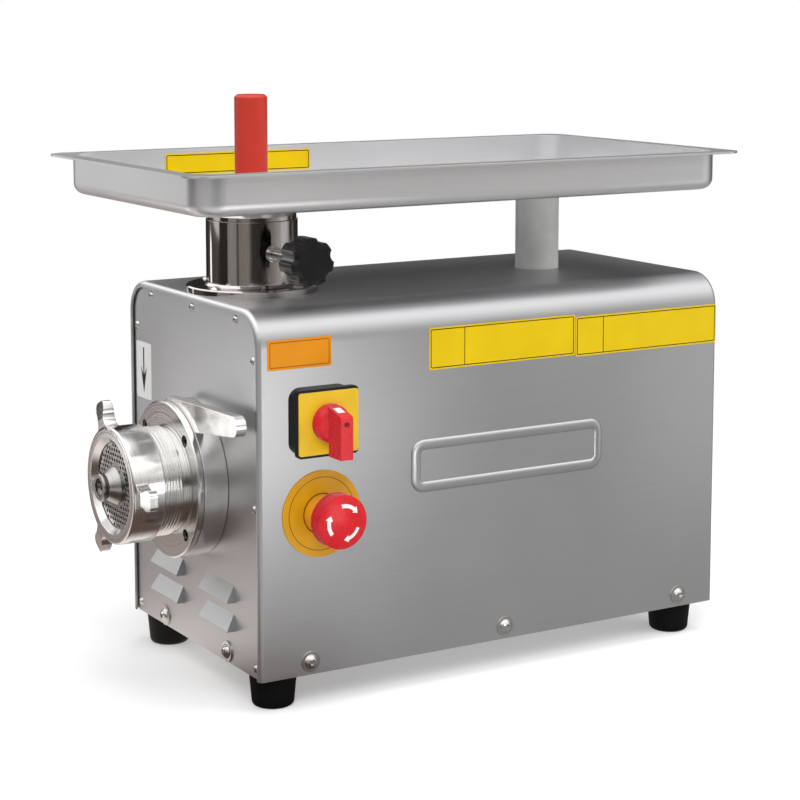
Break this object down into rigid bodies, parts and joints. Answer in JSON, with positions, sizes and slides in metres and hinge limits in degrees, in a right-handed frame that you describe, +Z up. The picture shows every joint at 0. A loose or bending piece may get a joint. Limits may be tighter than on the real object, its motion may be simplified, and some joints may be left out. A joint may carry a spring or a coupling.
{
  "type": "electric meat grinder",
  "caption": "Bench-top electric meat grinder: a box housing on rubber feet, a screwed-on grinding head, a tray with a pusher over the feed throat, and a geared motor inside.",
  "frame": {"origin": "middle of the object's bounding box, on the floor under the feet", "axes": "+X along the machine from the grinding head to the rear, +Y away from the side with the switch, +Z up"},
  "size_m": [0.506, 0.2894, 0.448],
  "materials": {
    "stainless_sheet": "satin brushed stainless sheet",
    "stainless_polished": "polished stainless steel",
    "cast_bright": "cast stainless steel, machined and polished",
    "steel_machined": "machined steel",
    "screw_steel": "plated steel",
    "screw_dark": "blackened steel",
    "rubber_black": "matt black rubber",
    "plastic_black": "moulded black plastic",
    "plastic_yellow": "yellow plastic",
    "dial_red": "glossy red plastic",
    "mushroom_red": "glossy red plastic",
    "pusher_red": "red food-grade plastic",
    "plastic_white": "white plastic",
    "gear_steel": "hardened steel",
    "cast_alloy": "as-cast aluminium",
    "motor_blue": "painted steel",
    "winding": "laminations and varnished windings",
    "can_alloy": "drawn aluminium"
  },
  "bodies": {
    "housing": {"housing_shell": "stainless_sheet", "front_frame": "stainless_sheet", "rear_frame": "stainless_sheet", "front_panel": "stainless_sheet", "rear_panel": "stainless_sheet", "base_plate": "stainless_sheet", "feet": "rubber_black", "foot_bolts": "screw_steel", "panel_screws": "screw_steel", "base_screws": "screw_steel", "side_screws": "screw_steel", "cable_gland": "plastic_black", "switch_body": "plastic_black", "switch_plate": "plastic_yellow", "switch_block": "plastic_black", "stop_disc": "plastic_yellow", "stop_collar": "plastic_yellow", "stop_block": "plastic_black", "throat_tube": "stainless_polished", "throat_screws": "screw_steel", "support_pillar": "plastic_white", "pillar_screw": "screw_steel", "head_barrel": "cast_bright", "flange_screws": "screw_dark", "bayonet_ring": "cast_bright", "cutting_plate": "steel_machined", "plate_hub": "steel_machined", "hub_screw": "steel_machined", "gearbox_housing": "cast_alloy", "gearbox_cover": "cast_alloy", "cover_screws": "screw_steel", "oil_seal": "rubber_black", "bearings": "gear_steel", "motor_stator": "winding", "motor_can": "motor_blue", "motor_bells": "cast_alloy", "motor_cradle": "stainless_sheet", "run_capacitor": "can_alloy", "terminal_block": "plastic_black"},
    "lock_collar": {"lock_collar": "cast_bright"},
    "ring_nut": {"ring_nut": "cast_bright"},
    "auger": {"auger": "steel_machined", "knife": "steel_machined", "output_shaft": "steel_machined", "output_gear": "gear_steel"},
    "countershaft": {"countershaft": "gear_steel", "counter_gear": "gear_steel"},
    "rotor": {"motor_rotor": "gear_steel", "motor_pinion": "gear_steel", "cooling_fan": "plastic_black"},
    "lock_knob": {"lock_knob": "plastic_black", "lock_stud": "stainless_polished"},
    "tray": {"tray": "stainless_sheet", "tray_neck": "stainless_polished"},
    "pusher": {"pusher": "pusher_red"},
    "switch_handle": {"switch_handle": "dial_red"},
    "stop_stem": {"stop_stem": "plastic_black"},
    "stop_button": {"stop_button": "mushroom_red"}
  },
  "joints": [
    {"name": "collar_turn", "type": "hinge", "parent": "housing", "child": "lock_collar", "pos_m": [-0.177, 0.01125, 0.1575], "axis": [1, 0, 0], "range_deg": [-40, 0]},
    {"name": "ring_nut_turn", "type": "hinge", "parent": "housing", "child": "ring_nut", "pos_m": [-0.227, 0.01125, 0.1575], "axis": [-1, 0, 0], "range_deg": [0, 720]},
    {"name": "auger_spin", "type": "hinge", "parent": "housing", "child": "auger", "pos_m": [-0.077, 0.01125, 0.1575], "axis": [-1, 0, 0], "continuous": true},
    {"name": "countershaft_spin", "type": "hinge", "parent": "housing", "child": "countershaft", "pos_m": [0.003, 0.01125, 0.0955], "axis": [-1, 0, 0], "continuous": true},
    {"name": "rotor_spin", "type": "hinge", "parent": "housing", "child": "rotor", "pos_m": [0.118, 0.01125, 0.1495], "axis": [-1, 0, 0], "continuous": true},
    {"name": "knob_turn", "type": "hinge", "parent": "housing", "child": "lock_knob", "pos_m": [-0.123, -0.04875, 0.329], "axis": [0, -1, 0], "range_deg": [0, 720]},
    {"name": "tray_lift", "type": "slide", "parent": "housing", "child": "tray", "axis": [0, 0, 1], "range_m": [0, 0.08]},
    {"name": "pusher_lift", "type": "slide", "parent": "tray", "child": "pusher", "axis": [0, 0, 1], "range_m": [0, 0.15]},
    {"name": "switch_turn", "type": "hinge", "parent": "housing", "child": "switch_handle", "pos_m": [-0.1278, -0.11675, 0.2165], "axis": [0, 1, 0], "range_deg": [0, 90]},
    {"name": "stop_press", "type": "slide", "parent": "housing", "child": "stop_stem", "axis": [0, 1, 0], "range_m": [0, 0.004], "stiffness_N_per_m": 600},
    {"name": "stop_twist", "type": "hinge", "parent": "stop_stem", "child": "stop_button", "pos_m": [-0.1258, -0.12375, 0.1458], "axis": [0, 1, 0], "range_deg": [0, 30], "stiffness_Nm_per_rad": 0.03}
  ],
  "couplings": [
    {"joint": "countershaft_spin", "follows": "auger_spin", "ratio": -2.4444},
    {"joint": "rotor_spin", "follows": "auger_spin", "ratio": 7.3333}
  ]
}
